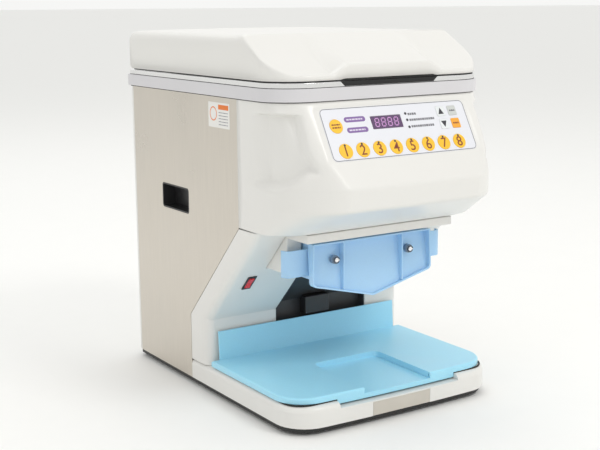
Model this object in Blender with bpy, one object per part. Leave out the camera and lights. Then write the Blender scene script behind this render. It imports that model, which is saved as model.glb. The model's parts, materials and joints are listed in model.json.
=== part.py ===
"""Tabletop cooked-rice serving machine, as an assembly of separate pieces.

Frame: the origin is in the middle of the footprint, at the underside of the feet.
The front (tray, chute and keypad) faces -Y, +X is on the right of someone facing that
front, and +Z is up. Sizes below are in millimetres.
"""
import bmesh
import bpy
from math import atan2, cos, hypot, pi, radians, sin, tan
from mathutils import Matrix, Vector

MM = 0.001
GAP = 0.3                    # clearance between pieces that touch or slide

# ---- driving dimensions ------------------------------------------------------------
BODY_WIDTH = 374.0           # across the steel side panels
PANEL_DEPTH = 343.0          # side panel, front seam to rear edge
COVER_DEPTH = 15.0           # rear cover behind the side panels
HEAD_REACH = 180.0           # front seam to the nose of the head
FOOT_HEIGHT = 12.0           # pan and feet together, below the covers
PAN_HEIGHT = 7.7
COLUMN_HEIGHT = 457.0        # base cover's lower edge to the rim band
HEAD_HEIGHT = 188.0          # head cover, bottom to rim band
NOSE_DROP = 117.0            # head's foremost line, below the rim band
SLANT_RISE = 163.0           # height of the side panel's slanted edge
SLANT_SETBACK = 158.0        # how far the slant runs back
WALL = 3.0                   # moulded covers
SHEET = 1.5                  # steel sheet

BAND_HEIGHT = 18.0
BAND_OVERHANG = 3.0
RIM_CORNER = 7.0             # rear corners, in plan
TRIM_HEIGHT = 7.4
LID_HEIGHT = 64.0
LID_WALL = 3.0
LID_EDGE = 16.0              # rounding along the lid's top
LID_CHEEK = 80.0             # half-width of the lid's nose
LID_OPEN_CLEARANCE = 8.0     # rear wall stops this far above the rim, for the hinge
HINGE_INSET = 12.0           # lid pin, in from the lid's rear face
HINGE_RISE = 13.0            # lid pin, up from the lid's lower edge
HINGE_PIN_RADIUS = 2.5

BASE_REACH = 149.0           # front seam to the front of the base
BASE_HEIGHT = 31.0
BASE_CORNER = 50.0
BOW = 3.0                    # how much the front edges of base and tray bow out
TRAY_HEIGHT = 42.0           # tray's top face above the base cover's lower edge
TRAY_THICKNESS = 3.0
TRAY_REACH = 139.0
APRON_HALF = 108.0           # half-width of the tray's deeper front edge
BOWL_WIDTH = 122.0           # the recess that takes the bowl
BOWL_DEPTH = 9.0
SPLASH_HEIGHT = 45.0
NECK_SETBACK = 53.0          # neck cover's face in front of the side panel's edge

WINDOW = (-60.0, 116.0)      # black window in the neck, left and right edges
PANEL_SINK = 18.0            # depth of the black panel behind the neck's face
NECK_EDGE = 15.0             # rounding of its outer edges

OVERLAY_WIDTH = 256.0
OVERLAY_HEIGHT = 79.0
OVERLAY_THICKNESS = 2.0
KEYPAD_DROP = 44.5           # keypad's middle, below the rim band
KEYPAD_TILT = radians(29.5)  # keypad leans back from the vertical
KEY_RADIUS = 11.0
KEY_PITCH = 28.8
KEY_THICKNESS = 1.3
KEY_PROUD = 0.4

OUTLET_HALF = 132.0          # white housing around the chute
OUTLET_BOTTOM = 200.0        # above the base cover's lower edge
CHUTE_HALF = 104.0           # outside of the blue chute
CHUTE_FRONT = -61.5          # from the front seam
CHUTE_REAR = 8.0
CHUTE_WALL = 2.5
WING_LOW = 199.0
WING_HIGH = 239.0
CHUTE_BOTTOM = 193.0         # above the base cover's lower edge, like those below
CHUTE_TOP = 258.0
FLAP_PIN_HEIGHT = 199.0
FLAP_TIP_HEIGHT = 160.0
FLAP_PIN_RADIUS = 2.0
COVER_TOP = 248.0            # the chute's front cover
COVER_SIDE_LOW = 185.5
COVER_SINK = 13.0            # its face lies this deep behind the rim, at the top
COVER_SHEET = 2.5
KNOB_RADIUS = 6.5
KNOB_SPREAD = 68.0
KNOB_HEIGHT = 221.0

GRIP_WIDTH = 91.0            # recessed hand grips in the sides
GRIP_HEIGHT = 40.0
GRIP_DEPTH = 24.0
GRIP_BACK = 154.0            # from the front seam to the grip
GRIP_LOW = 267.0

HOPPER_HALF = 150.0
HOPPER_WALL = 2.5
THROAT_RISE = 50.0           # straight throat below the hopper's sloping floor
HOPPER_RAKE = 60.0           # rise of the hopper's sloping floor
ROLLER_RADIUS = 13.0
ROLLER_SPACING = 33.0
ROLLER_AHEAD = 33.0          # from the front seam to the middle of the feed rollers
GEAR_TEETH = 16
PINION_TEETH = 10
TOOTH_TIP = 1.0              # tooth outside the pitch circle
TOOTH_ROOT = 1.7             # and inside it
SHAFT_RADIUS = 4.0
PADDLE_RADIUS = 46.0
FRAME_INSET = 27.0           # inner frame behind the steel panels

# ---- places worked out from them ---------------------------------------------------
HALF = BODY_WIDTH / 2
DEPTH = HEAD_REACH + PANEL_DEPTH + COVER_DEPTH + BAND_OVERHANG
SEAM = -DEPTH / 2 + HEAD_REACH                     # front edge of the side panels
PANEL_REAR = SEAM + PANEL_DEPTH
BODY_REAR = PANEL_REAR + COVER_DEPTH
FLOOR = FOOT_HEIGHT                                # lower edge of the covers
COLUMN_TOP = FLOOR + COLUMN_HEIGHT
HEAD_BOTTOM = COLUMN_TOP - HEAD_HEIGHT
LOWER_FRONT = SEAM + SLANT_SETBACK                 # panel's front edge below the slant
SLANT_LOW = HEAD_BOTTOM - SLANT_RISE
NECK_FRONT = LOWER_FRONT - NECK_SETBACK
BAND_LOW = COLUMN_TOP + GAP
BAND_TOP = BAND_LOW + BAND_HEIGHT
TRIM_TOP = BAND_TOP + GAP + TRIM_HEIGHT
LID_LOW = TRIM_TOP + GAP
LID_TOP = LID_LOW + LID_HEIGHT
LID_REAR = BODY_REAR - 1
PIN_Y = LID_REAR - HINGE_INSET
PIN_Z = LID_LOW + HINGE_RISE
ROLLER_Y = SEAM - ROLLER_AHEAD
HOPPER_FRONT = ROLLER_Y - ROLLER_SPACING
HOPPER_REAR = BODY_REAR - 36
HOPPER_TOP = BAND_TOP - 1
THROAT_REAR = ROLLER_Y + ROLLER_SPACING
THROAT_LOW = HEAD_BOTTOM - 7
THROAT_HALF = CHUTE_HALF                           # the hopper empties straight into the chute
ROLLER_Z = THROAT_LOW + 38
PINION_RADIUS = ROLLER_SPACING / 2 * PINION_TEETH / GEAR_TEETH
AGITATOR_Y = SEAM + 130
AGITATOR_Z = HOPPER_TOP - 74
SLANT_RUN = SLANT_SETBACK / SLANT_RISE


# ---- building helpers --------------------------------------------------------------
def clear_scene():
    for item in list(bpy.data.objects):
        bpy.data.objects.remove(item, do_unlink=True)


def material(name, colour, roughness, metallic=0.0):
    made = bpy.data.materials.new(name)
    made.use_nodes = True
    shader = made.node_tree.nodes["Principled BSDF"]
    shader.inputs["Base Color"].default_value = (*colour, 1.0)
    shader.inputs["Roughness"].default_value = roughness
    shader.inputs["Metallic"].default_value = metallic
    made.diffuse_color = (*colour, 1.0)
    return made


def finish(name, bm, paint=None, smooth=False):
    """Turn a bmesh drawn in millimetres into an object in metres."""
    bmesh.ops.scale(bm, vec=(MM, MM, MM), verts=bm.verts)
    bmesh.ops.recalc_face_normals(bm, faces=bm.faces)
    mesh = bpy.data.meshes.new(name)
    bm.to_mesh(mesh)
    bm.free()
    if smooth:
        mesh.shade_smooth()
        mesh.set_sharp_from_angle(angle=radians(32))
    item = bpy.data.objects.new(name, mesh)
    bpy.context.scene.collection.objects.link(item)
    if paint:
        mesh.materials.append(paint)
    return item


def as_guide(item):
    item.hide_render = True
    item.display_type = 'WIRE'
    return item


def place(axis, flat, along):
    """A point from its two flat coordinates and its place along the given axis."""
    a, b = flat
    return {'X': (along, a, b), 'Y': (a, along, b), 'Z': (a, b, along)}[axis]


def prism(name, axis, outline, low, high, paint=None, smooth=False):
    """Extrude a flat outline between two places along an axis."""
    bm = bmesh.new()
    ends = [[bm.verts.new(place(axis, p, s)) for p in outline] for s in (low, high)]
    bm.faces.new(ends[0])
    bm.faces.new(ends[1])
    count = len(outline)
    for i in range(count):
        j = (i + 1) % count
        bm.faces.new((ends[0][i], ends[0][j], ends[1][j], ends[1][i]))
    return finish(name, bm, paint, smooth)


def block(name, x, y, z, paint=None):
    outline = [(x[0], y[0]), (x[1], y[0]), (x[1], y[1]), (x[0], y[1])]
    return prism(name, 'Z', outline, z[0], z[1], paint)


def circle(centre, radius, steps=20, start=0.0):
    turns = [start + 2 * pi * i / steps for i in range(steps)]
    return [(centre[0] + radius * cos(t), centre[1] + radius * sin(t)) for t in turns]


def rounded(corners, radius, steps=4):
    """Fillet each corner of a polygon; radius is one value or one per corner."""
    count = len(corners)
    radii = radius if isinstance(radius, (list, tuple)) else [radius] * count
    outline = []
    for i, r in enumerate(radii):
        here = Vector(corners[i])
        back = (Vector(corners[i - 1]) - here).normalized()
        ahead = (Vector(corners[(i + 1) % count]) - here).normalized()
        if r <= 0:
            outline.append(tuple(here))
            continue
        half = back.angle(ahead) / 2
        centre = here + (back + ahead).normalized() * r / sin(half)
        first = here + back * r / (sin(half) / cos(half)) - centre
        last = here + ahead * r / (sin(half) / cos(half)) - centre
        turn = first.angle_signed(last)
        for k in range(steps + 1):
            a = atan2(first.y, first.x) - turn * k / steps
            outline.append((centre.x + r * cos(a), centre.y + r * sin(a)))
    return outline


def rectangle(x, y, radius=0.0, steps=4):
    return rounded([(x[0], y[0]), (x[1], y[0]), (x[1], y[1]), (x[0], y[1])], radius, steps)


def combine(item, other, operation='DIFFERENCE'):
    step = item.modifiers.new(other.name, 'BOOLEAN')
    step.operation = operation
    step.solver = 'EXACT'
    step.object = as_guide(other)
    return item


def cut(item, *tools):
    for tool in tools:
        combine(item, tool)
    return item


def add(item, *others):
    for other in others:
        combine(item, other, 'UNION')
    return item


def keep(item, other):
    return combine(item, other, 'INTERSECT')


def centred(item, x, y, z):
    """Move an object's origin onto its joint's axis, leaving its shape where it is."""
    spot = Vector((x, y, z)) * MM
    item.data.transform(Matrix.Translation(-spot))
    item.location = spot
    return item


def bowed_plan(half, rear, front, corner, bow, steps=8):
    """Plan outline with a square rear, rounded front corners and a bowed front."""
    points = [(half, rear)]
    middle = (half - corner, front + bow + corner)
    for i in range(steps + 1):
        a = -pi / 2 * i / steps
        points.append((middle[0] + corner * cos(a), middle[1] + corner * sin(a)))
    width = middle[0]
    for i in range(1, 6):
        x = width * (1 - i / 3)
        points.append((x, front + bow * (x / width) ** 2))
    for x, y in list(points[:steps + 2])[::-1]:
        points.append((-x, y))
    return points


# ---- colours -----------------------------------------------------------------------
def make_paints():
    return {
        'white': material("gloss_white", (0.83, 0.82, 0.78), 0.25),
        'steel': material("brushed_steel", (0.55, 0.52, 0.47), 0.35, 1.0),
        'band': material("satin_grey", (0.63, 0.62, 0.64), 0.35),
        'trim': material("bright_trim", (0.80, 0.80, 0.80), 0.15, 1.0),
        'blue': material("chute_blue", (0.30, 0.52, 0.82), 0.35),
        'tray': material("tray_blue", (0.38, 0.72, 0.88), 0.35),
        'black': material("black_plastic", (0.02, 0.02, 0.022), 0.45),
        'rubber': material("black_rubber", (0.015, 0.015, 0.015), 0.8),
        'pan': material("painted_pan", (0.03, 0.03, 0.03), 0.5),
        'overlay': material("overlay_white", (0.80, 0.82, 0.90), 0.3),
        'yellow': material("key_yellow", (0.95, 0.60, 0.08), 0.35),
        'key_white': material("key_white", (0.85, 0.88, 0.88), 0.35),
        'key_grey': material("key_grey", (0.62, 0.64, 0.62), 0.35),
        'orange': material("key_orange", (0.90, 0.20, 0.06), 0.35),
        'purple': material("display_purple", (0.10, 0.02, 0.13), 0.15),
        'red': material("rocker_red", (0.55, 0.03, 0.03), 0.3),
        'frame': material("zinc_sheet", (0.60, 0.61, 0.60), 0.4, 1.0),
        'hopper': material("hopper_white", (0.75, 0.77, 0.78), 0.35),
        'roller': material("roller_acetal", (0.85, 0.85, 0.80), 0.4),
        'shaft': material("shaft_steel", (0.70, 0.70, 0.68), 0.25, 1.0),
        'gear': material("gear_nylon", (0.80, 0.78, 0.68), 0.5),
        'motor': material("motor_grey", (0.25, 0.26, 0.28), 0.4, 0.6),
        'board': material("board_green", (0.03, 0.22, 0.09), 0.5),
    }


# ---- base --------------------------------------------------------------------------
def make_feet(paint):
    x = HALF - 34
    places = {
        "foot_front_left": (-x, SEAM - BASE_REACH + 52),
        "foot_front_right": (x, SEAM - BASE_REACH + 52),
        "foot_rear_left": (-x, PANEL_REAR - 27),
        "foot_rear_right": (x, PANEL_REAR - 27),
    }
    for name, spot in places.items():
        prism(name, 'Z', circle(spot, 15, 24), 0, FOOT_HEIGHT - GAP - PAN_HEIGHT - GAP, paint, True)


def make_base(paints):
    pan = bowed_plan(HALF - 4, BODY_REAR - 6, SEAM - BASE_REACH + 6, BASE_CORNER - 4, BOW)
    prism("base_pan", 'Z', pan, FLOOR - GAP - PAN_HEIGHT, FLOOR - GAP, paints['pan'])

    rear = LOWER_FRONT - GAP
    front = SEAM - BASE_REACH
    rim = FLOOR + BASE_HEIGHT
    deck = rim - 8
    rings = []
    for z, inset in ((FLOOR, 0), (rim - 8, 0), (rim - 4, 1), (rim - 1.3, 3.5), (rim, 7)):
        plan = bowed_plan(HALF - inset, rear, front + inset, BASE_CORNER - inset, BOW)
        rings.append([(x, y, z) for x, y in plan])
    inner = bowed_plan(HALF - WALL, rear + 5, front + WALL, BASE_CORNER - WALL, BOW)
    cover = loft("base_cover", rings, paints['white'], True)
    hollow = prism("base_hollow", 'Z', inner, FLOOR - 5, deck - WALL)
    well = prism("base_well", 'Z', rectangle((-HALF + 22, HALF - 22), (front + 24, NECK_FRONT - 8), 12),
                 deck, rim + 5)
    notch = block("base_notch", (-APRON_HALF - 1, APRON_HALF + 1), (front - 5, front + 30), (deck, rim + 5))
    insert_hole = block("insert_hole", (-53, 53), (front - 5, front + WALL + 1),
                        (FLOOR - 5, FLOOR + 21))
    cable_way = block("cable_way", (-60, 60), (NECK_FRONT + 10, rear - 8), (deck - 9, rim + 5))
    cut(cover, hollow, well, notch, insert_hole, cable_way)

    block("base_insert", (-53 + GAP, 53 - GAP), (front + 0.6, front + 0.6 + SHEET),
          (FLOOR + GAP, FLOOR + 21 - GAP), paints['steel'])


def make_tray(paint):
    top = FLOOR + TRAY_HEIGHT
    skirt = FLOOR + BASE_HEIGHT + 2
    apron = FLOOR + BASE_HEIGHT - 5
    deck = FLOOR + BASE_HEIGHT - 8
    front = SEAM - TRAY_REACH
    rear = NECK_FRONT - 7
    half = HALF - 3
    corner = BASE_CORNER - 2
    outer = bowed_plan(half, rear, front, corner, BOW)
    inner = bowed_plan(half - TRAY_THICKNESS, rear - TRAY_THICKNESS, front + TRAY_THICKNESS,
                       corner - TRAY_THICKNESS, BOW)
    rings = [[(x, y, z) for x, y in bowed_plan(half - e, rear - e, front + e, corner - e, BOW)]
             for z, e in ((skirt, 0), (top - 2, 0), (top, 2))]
    tray = loft("tray", rings, paint, True)
    hollow = prism("tray_hollow", 'Z', inner, skirt - 5, top - TRAY_THICKNESS)
    cut(tray, hollow)

    lip = prism("tray_apron", 'Z', outer, apron, skirt + 1)
    keep(lip, block("apron_part", (-APRON_HALF, APRON_HALF), (front - 5, front + 12), (apron - 5, top)))
    half_bowl = BOWL_WIDTH / 2
    shelf = block("bowl_shelf", (-half_bowl - 3, half_bowl + 3), (front + 6, SEAM + 1),
                  (top - BOWL_DEPTH - 2.5, top - 1))
    rib_y = (front + 34, rear - 18)
    rib_x = half - 32
    rib = prism("tray_rib", 'Z', rectangle((-rib_x, rib_x), rib_y, 8), deck + GAP, top - 1)
    cut(rib, prism("rib_hole", 'Z', rectangle((-rib_x + 3, rib_x - 3),
                                              (rib_y[0] + 3, rib_y[1] - 3), 5), deck - 5, top + 5))
    wall = prism("splash_wall", 'X', [(rear - 3, top - 1), (rear, top - 1),
                                      (rear + 2.5, top + SPLASH_HEIGHT),
                                      (rear, top + SPLASH_HEIGHT)], -half + 14, half - 14)
    add(tray, lip, rib, shelf, wall)
    recess = prism("bowl_recess", 'Z', rectangle((-half_bowl, half_bowl), (front - 20, SEAM - 2), 12),
                   top - BOWL_DEPTH, top + 5)
    cut(tray, recess)
    centred(tray, 0, (front + rear) / 2, top)


# ---- side panels, rear cover and neck ----------------------------------------------
def panel_outline(inset=0.0):
    """Side view of the steel panel, as (y, z)."""
    return [(SEAM + inset, COLUMN_TOP - inset), (SEAM + inset, HEAD_BOTTOM + inset * 0.4),
            (LOWER_FRONT + inset, SLANT_LOW + inset * 0.4), (LOWER_FRONT + inset, FLOOR + inset),
            (PANEL_REAR - inset, FLOOR + inset), (PANEL_REAR - inset, COLUMN_TOP - inset)]


def make_sides(paints):
    y = (SEAM + GRIP_BACK, SEAM + GRIP_BACK + GRIP_WIDTH)
    z = (FLOOR + GRIP_LOW, FLOOR + GRIP_LOW + GRIP_HEIGHT)
    for word, side in (("left", -1), ("right", 1)):
        outer = side * HALF
        inner = side * (HALF - SHEET)
        panel = prism("side_panel_" + word, 'X', panel_outline(), inner, outer, paints['steel'])
        cut(panel, prism("grip_hole_" + word, 'X', rectangle(y, z, 5), outer + side * 5,
                         inner - side * 5))
        cup_y = (y[0] + GAP, y[1] - GAP)
        cup_z = (z[0] + GAP, z[1] - GAP)
        deep = side * (HALF - GRIP_DEPTH)
        cup = prism("grip_" + word, 'X', rectangle(cup_y, cup_z, 5 - GAP), deep, outer,
                    paints['black'])
        flange = prism("grip_flange_" + word, 'X',
                       rectangle((y[0] - 6, y[1] + 6), (z[0] - 6, z[1] + 6), 6),
                       inner - side * GAP, inner - side * (GAP + 2))
        pocket = prism("grip_pocket_" + word, 'X',
                       rectangle((cup_y[0] + 2, cup_y[1] - 2), (cup_z[0] + 2, cup_z[1] - 2), 3),
                       deep + side * 2, outer + side * 5)
        add(cup, flange)
        cut(cup, pocket)


def make_rear_cover(paints):
    front = PANEL_REAR + GAP
    outline = [(HALF, front), (HALF, BODY_REAR), (-HALF, BODY_REAR), (-HALF, front)]
    inner = [(HALF - WALL, front - 5), (HALF - WALL, BODY_REAR - WALL),
             (-HALF + WALL, BODY_REAR - WALL), (-HALF + WALL, front - 5)]
    cover = prism("rear_cover", 'Z', rounded(outline, [0, 12, 12, 0], 6), FLOOR, COLUMN_TOP,
                  paints['white'], True)
    cut(cover, prism("rear_hollow", 'Z', rounded(inner, [0, 9, 9, 0], 6), FLOOR - 5,
                     COLUMN_TOP - WALL))
    for row in range(7):
        z = FLOOR + 290 + 14 * row
        for side in (-1, 1):
            middle = side * 70
            slot = block("vent", (middle - 45, middle + 45), (BODY_REAR - 8, BODY_REAR + 5), (z, z + 6))
            cut(cover, slot)
    inlet_x = (HALF - 82, HALF - 52)
    inlet_z = (FLOOR + 40, FLOOR + 62)
    cut(cover, block("inlet_hole", inlet_x, (BODY_REAR - 8, BODY_REAR + 5), inlet_z))
    body_x = (inlet_x[0] + GAP, inlet_x[1] - GAP)
    body_z = (inlet_z[0] + GAP, inlet_z[1] - GAP)
    inlet = block("power_inlet", body_x, (BODY_REAR - 22, BODY_REAR + 1), body_z, paints['black'])
    cut(inlet, block("inlet_socket", (body_x[0] + 3, body_x[1] - 3), (BODY_REAR - 16, BODY_REAR + 5),
                     (body_z[0] + 3, body_z[1] - 3)))


def neck_face(z):
    """The neck cover's slanted face, as y at a height."""
    return NECK_FRONT - (z - SLANT_LOW) * SLANT_RUN


def neck_outline(inset=0.0, extend=0.0):
    """Side view of the neck cover, as (y, z); it reaches forward of the side panels."""
    low = FLOOR + BASE_HEIGHT + GAP - extend
    high = HEAD_BOTTOM - 1 + extend
    slanted_inset = inset * hypot(1, SLANT_RUN)
    crease = SLANT_LOW + (slanted_inset - inset) / SLANT_RUN
    rear = LOWER_FRONT - 1.5 * GAP + extend
    return [(rear, low), (NECK_FRONT + inset, low), (NECK_FRONT + inset, crease),
            (neck_face(high) + slanted_inset, high),
            (neck_face(high) + rear - NECK_FRONT, high), (rear, SLANT_LOW)]


def neck_solid(name, inset, extend, paint=None, steps=4):
    """The neck's block, with its two outer front edges rounded."""
    radius = NECK_EDGE - inset
    rings = []
    for i in range(steps + 1):
        a = pi / 2 * i / steps
        ring = neck_outline(inset + radius * (1 - sin(a)), extend)
        rings.append([(-HALF + inset + radius * (1 - cos(a)), y, z) for y, z in ring])
    rings += [[(-x, y, z) for x, y, z in ring] for ring in rings[::-1]]
    return loft(name, rings, paint, True)


def make_neck(paints):
    neck = neck_solid("neck_cover", 0, 0, paints['white'])
    inner = neck_solid("neck_hollow", WALL, 12)
    cut(neck, inner)
    housing = block("housing_way", (-OUTLET_HALF - GAP * 2, OUTLET_HALF + GAP * 2),
                    (SEAM - 150, LOWER_FRONT), (FLOOR + OUTLET_BOTTOM - GAP * 2, HEAD_BOTTOM + 20))
    cut(neck, housing)
    low = FLOOR + BASE_HEIGHT + 14
    left, right = WINDOW
    cut(neck, block("neck_window", (left, right), (SEAM - 100, LOWER_FRONT + 10),
                    (low, FLOOR + OUTLET_BOTTOM + 5)))
    make_neck_panel(paints, left + GAP, right - GAP, low + GAP)
    make_switch(neck, paints)


def face_profile(offset, low, high):
    """The neck's face moved back by an offset, from a low to a high place."""
    slanted = offset * hypot(1, SLANT_RUN)
    crease = SLANT_LOW + (slanted - offset) / SLANT_RUN
    return [(NECK_FRONT + offset, low), (NECK_FRONT + offset, crease),
            (neck_face(high) + slanted, high)]


def make_neck_panel(paints, left, right, low):
    """Black tray sunk in the neck's window, with the bowl sensor's box on it."""
    high = FLOOR + OUTLET_BOTTOM - 4
    deep = PANEL_SINK
    outline = face_profile(0.5, low, high) + face_profile(deep, low, high)[::-1]
    panel = prism("neck_panel", 'X', outline, left, right, paints['black'])
    pocket = face_profile(-9, low + 2, high + 20) + face_profile(deep - 2, low + 2, high + 20)[::-1]
    cut(panel, prism("panel_pocket", 'X', pocket, left + 2, right - 2))
    box_low, box_high = FLOOR + 88, FLOOR + 118
    back = [(y, z) for y, z in face_profile(deep - 2 - 1.5 * GAP, box_low, box_high)]
    front = NECK_FRONT - 3
    prism("sensor_box", 'X', [(front, box_low)] + back + [(front, box_high)], -5, 42,
          paints['black'])


def make_switch(neck, paints):
    """Mains switch on the slanted face; local z stands off the face."""
    slope = atan2(SLANT_RISE, SLANT_SETBACK)
    height = FLOOR + 175.5
    spot = Vector((-149, neck_face(height), height))
    turn = Matrix.Rotation(pi - slope, 4, 'X')
    frame = Matrix.Translation(spot * MM) @ turn

    def local(name, x, y, z, paint=None):
        item = block(name, x, y, z, paint)
        item.matrix_world = frame
        return item

    cut(neck, local("switch_hole", (-6.6, 6.6), (-14.6, 14.6), (-12, 12)))
    bezel = local("switch_bezel", (-6.3, 6.3), (-14.3, 14.3), (-10, 0.8), paints['black'])
    rim = local("bezel_rim", (-7.5, 7.5), (-16.3, 16.3), (GAP, 1.8))
    add(bezel, rim)
    cut(bezel, local("rocker_way", (-5, 5), (-12.5, 12.5), (-8, 6)))
    profile = [(-11.6, 2.9), (0, 1.8), (11.6, 2.9), (10.8, -2.6), (0, -4.5), (-10.8, -2.6)]
    rocker = prism("power_rocker", 'X', profile, -5 + GAP, 5 - GAP, paints['red'])
    rocker.matrix_world = frame


# ---- head cover and keypad ---------------------------------------------------------
def head_levels():
    """Height, front line, half-width of the flat front, where the side starts, roundness."""
    nose = -DEPTH / 2
    lean = tan(KEYPAD_TILT)
    nose_z = COLUMN_TOP - NOSE_DROP
    top_y = nose + NOSE_DROP * lean
    flat = HALF - 59
    return [
        (HEAD_BOTTOM, nose + 80, flat - 8, SEAM - 60, 2.0),
        (HEAD_BOTTOM + 40, nose + 4, flat - 16, SEAM - 86, 1.7),
        (nose_z, nose, flat - 16, SEAM - 88, 1.6),
        (COLUMN_TOP - 80, top_y - 80 * lean, flat + 4, SEAM - 78, 1.6),
        (COLUMN_TOP - 51, top_y - 51 * lean, flat + 6, SEAM - 72, 1.7),
        (COLUMN_TOP, top_y, flat, SEAM - 60, 2.0),
    ]


def head_ring(level, inset, steps=7):
    z, front, flat, start, power = level
    half = HALF - inset
    front += inset * 1.15
    start += inset
    points = [(-half, SEAM + (5 if inset else -GAP), z)]
    corner = []
    for i in range(steps + 1):
        a = pi / 2 * i / steps
        x = flat + (half - flat) * cos(a) ** (2 / power)
        y = start + (front - start) * sin(a) ** (2 / power)
        corner.append((-x, y, z))
    points += corner + [(0, front, z)]
    points += [(-x, y, z) for x, y, z in (points[:-1])[::-1]]
    return points


def loft(name, rings, paint=None, smooth=False):
    bm = bmesh.new()
    rows = [[bm.verts.new(p) for p in ring] for ring in rings]
    bm.faces.new(rows[0])
    bm.faces.new(rows[-1])
    for low, high in zip(rows, rows[1:]):
        for i in range(len(low)):
            j = (i + 1) % len(low)
            bm.faces.new((low[i], low[j], high[j], high[i]))
    bmesh.ops.triangulate(bm, faces=bm.faces)
    return finish(name, bm, paint, smooth)


def keypad_frame():
    """Local x to the right, y up the keypad, z out of it."""
    z = COLUMN_TOP - KEYPAD_DROP
    y = -DEPTH / 2 + (NOSE_DROP - KEYPAD_DROP) * tan(KEYPAD_TILT)
    spot = Matrix.Translation(Vector((0, y, z)) * MM)
    return spot @ Matrix.Rotation(pi / 2 - KEYPAD_TILT, 4, 'X')


def make_head(paints):
    outer = [head_ring(level, 0) for level in head_levels()]
    inner = [head_ring(level, WALL) for level in head_levels()]
    inner[0] = [(x, y, HEAD_BOTTOM + WALL) for x, y, _ in inner[0]]
    inner.append([(x, y, COLUMN_TOP + 5) for x, y, _ in inner[-1]])
    head = loft("head_cover", outer, paints['white'], True)
    cut(head, loft("head_hollow", inner))
    cut(head, block("throat_way", (-CHUTE_HALF - 4, CHUTE_HALF + 4),
                    (HOPPER_FRONT - 4, THROAT_REAR + 6), (HEAD_BOTTOM - 5, HEAD_BOTTOM + 9)))
    frame = keypad_frame()
    half = (OVERLAY_WIDTH / 2, OVERLAY_HEIGHT / 2)
    seat = prism("overlay_seat", 'Z',
                 rectangle((-half[0] - GAP, half[0] + GAP), (-half[1] - GAP, half[1] + GAP), 8),
                 -OVERLAY_THICKNESS + 0.2, 20)
    seat.matrix_world = frame
    cut(head, seat)
    return frame


def key_table():
    """Name, shape, middle and size of each key on the keypad."""
    keys = []
    for i in range(8):
        keys.append((f"key_{i + 1}", 'round', (-3.5 * KEY_PITCH - 2.5 + i * KEY_PITCH, -25), KEY_RADIUS))
    keys.append(("key_start", 'round', (-107, 12.5), KEY_RADIUS - 0.5))
    keys.append(("key_up", 'square', (81.5, 23.5), 7.5))
    keys.append(("key_menu", 'square', (103, 23.5), 7.5))
    keys.append(("key_down", 'square', (81.5, 3.5), 7.5))
    keys.append(("key_mode", 'square', (103, 3.5), 7.5))
    return keys


def key_outline(shape, middle, size):
    if shape == 'round':
        return circle(middle, size, 20)
    x, y = middle
    return rectangle((x - size, x + size), (y - size, y + size), 1.5, 2)


def make_keypad(frame, paints):
    half = (OVERLAY_WIDTH / 2, OVERLAY_HEIGHT / 2)
    back = -OVERLAY_THICKNESS + 0.2 + GAP
    front = 0.5
    overlay = prism("control_overlay", 'Z',
                    rectangle((-half[0], half[0]), (-half[1], half[1]), 8), back, front,
                    paints['overlay'])
    overlay.matrix_world = frame
    colours = {"key_up": 'key_white', "key_down": 'key_white', "key_menu": 'key_grey',
               "key_mode": 'orange'}
    for name, shape, middle, size in key_table():
        hole = prism("hole_" + name, 'Z', key_outline(shape, middle, size + GAP), back - 5, 5)
        hole.matrix_world = frame
        cut(overlay, hole)
        key = prism(name, 'Z', key_outline(shape, (0, 0), size), front + KEY_PROUD - KEY_THICKNESS,
                    front + KEY_PROUD, paints[colours.get(name, 'yellow')])
        key.matrix_world = frame @ Matrix.Translation(Vector((*middle, 0)) * MM)
    window = rectangle((-46, 7), (4, 23.5), 1)
    hole = prism("window_hole", 'Z', rectangle((-46 - GAP, 7 + GAP), (4 - GAP, 23.5 + GAP), 1),
                 back - 5, 5)
    hole.matrix_world = frame
    cut(overlay, hole)
    display = prism("display_window", 'Z', window, back, front - 0.1, paints['purple'])
    display.matrix_world = frame
    board = block("control_board", (-115, 115), (-36, 30), (-16, -14), paints['board'])
    board.matrix_world = frame


# ---- rim, lid and hinge ------------------------------------------------------------
def rim_plan(overhang, rear, steps=8):
    """Plan outline of the rim: it follows the head cover's top edge."""
    ring = head_ring(head_levels()[-1], -overhang, steps)
    points = [(x, y) for x, y, _ in ring[1:-1]]
    corners = rounded([(HALF + overhang, 0), (HALF + overhang, rear), (-HALF - overhang, rear),
                       (-HALF - overhang, 0)], [0, RIM_CORNER, RIM_CORNER, 0], 4)
    return points + corners[1:-1]


def make_rim(paints):
    outer = rim_plan(BAND_OVERHANG, BODY_REAR + BAND_OVERHANG)
    band = prism("rim_band", 'Z', outer, BAND_LOW, BAND_TOP, paints['band'], True)
    cut(band, block("hopper_way", (-HOPPER_HALF - 1, HOPPER_HALF + 1),
                    (HOPPER_FRONT - 1, HOPPER_REAR + 1), (BAND_LOW - 5, BAND_TOP + 5)))
    trim = prism("rim_trim", 'Z', rim_plan(0.5, BODY_REAR - 1), BAND_TOP + GAP, TRIM_TOP,
                 paints['trim'], True)
    cut(trim, prism("trim_way", 'Z', rim_plan(-7.5, BODY_REAR - 9), BAND_TOP - 5, TRIM_TOP + 5))


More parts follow.
